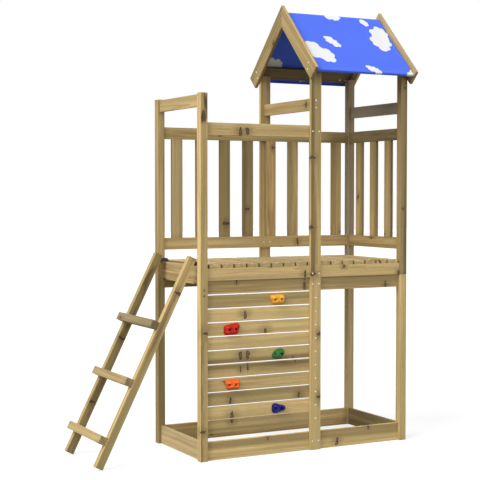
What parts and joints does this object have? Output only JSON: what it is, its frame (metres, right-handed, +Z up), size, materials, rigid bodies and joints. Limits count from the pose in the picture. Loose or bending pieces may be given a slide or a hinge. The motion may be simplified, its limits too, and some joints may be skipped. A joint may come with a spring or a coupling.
{
  "type": "wooden climbing frame",
  "caption": "Wooden climbing frame with a raised deck, plank climbing wall with coloured holds, slatted railings, hook-on ladder and gabled fabric canopy.",
  "frame": {"origin": "on the ground under the middle of the whole frame's box, ladder included", "axes": "+Z up, +X from the ladder towards the roofed bay, -Y towards the climbing wall"},
  "size_m": [1.5994, 0.643, 2.0942],
  "materials": {
    "pine": "planed pine, pressure treated, tan with a green cast, dark knots",
    "canopy_cloth": "woven polyester, blue with white cloud shapes",
    "screw_steel": "galvanised screw heads",
    "hook_steel": "dark coated steel plate",
    "yellow_plastic": "moulded plastic, fine texture",
    "red_plastic": "moulded plastic, fine texture",
    "green_plastic": "moulded plastic, fine texture",
    "orange_plastic": "moulded plastic, fine texture",
    "blue_plastic": "moulded plastic, fine texture"
  },
  "bodies": {
    "frame": {"front_left_post": "pine", "back_left_post": "pine", "front_right_lower_post": "pine", "back_right_lower_post": "pine", "front_right_upper_post": "pine", "back_right_upper_post": "pine", "front_middle_lower_board": "pine", "front_middle_upper_board": "pine", "back_middle_board": "pine", "front_sand_board": "pine", "back_sand_board": "pine", "left_sand_board": "pine", "right_sand_board": "pine", "front_beam": "pine", "back_beam": "pine", "front_rim": "pine", "back_rim": "pine", "left_rim": "pine", "right_rim": "pine", "deck_planks": "pine", "wall_plank_1": "pine", "wall_plank_2": "pine", "wall_plank_3": "pine", "wall_plank_4": "pine", "wall_plank_5": "pine", "wall_plank_6": "pine", "wall_plank_7": "pine", "wall_plank_8": "pine", "wall_plank_9": "pine", "wall_plank_10": "pine", "front_guard_rail": "pine", "back_top_rail": "pine", "back_bottom_rail": "pine", "right_top_rail": "pine", "right_bottom_rail": "pine", "back_slats": "pine", "right_slats": "pine", "entrance_bar": "pine", "roof_left_bar": "pine", "roof_right_bar": "pine", "left_front_rafter": "pine", "left_back_rafter": "pine", "right_front_rafter": "pine", "right_back_rafter": "pine", "ridge_board": "pine", "front_eave_board": "pine", "back_eave_board": "pine", "canopy": "canopy_cloth", "yellow_hold": "yellow_plastic", "red_hold": "red_plastic", "green_hold": "green_plastic", "orange_hold": "orange_plastic", "blue_hold": "blue_plastic", "frame_screws": "screw_steel"},
    "ladder": {"ladder_front_rail": "pine", "ladder_back_rail": "pine", "ladder_treads": "pine", "ladder_hooks": "hook_steel", "ladder_screws": "screw_steel"}
  },
  "joints": [
    {"name": "ladder_lift", "type": "slide", "parent": "frame", "child": "ladder", "axis": [0, 0, 1], "range_m": [0, 0.06]}
  ]
}
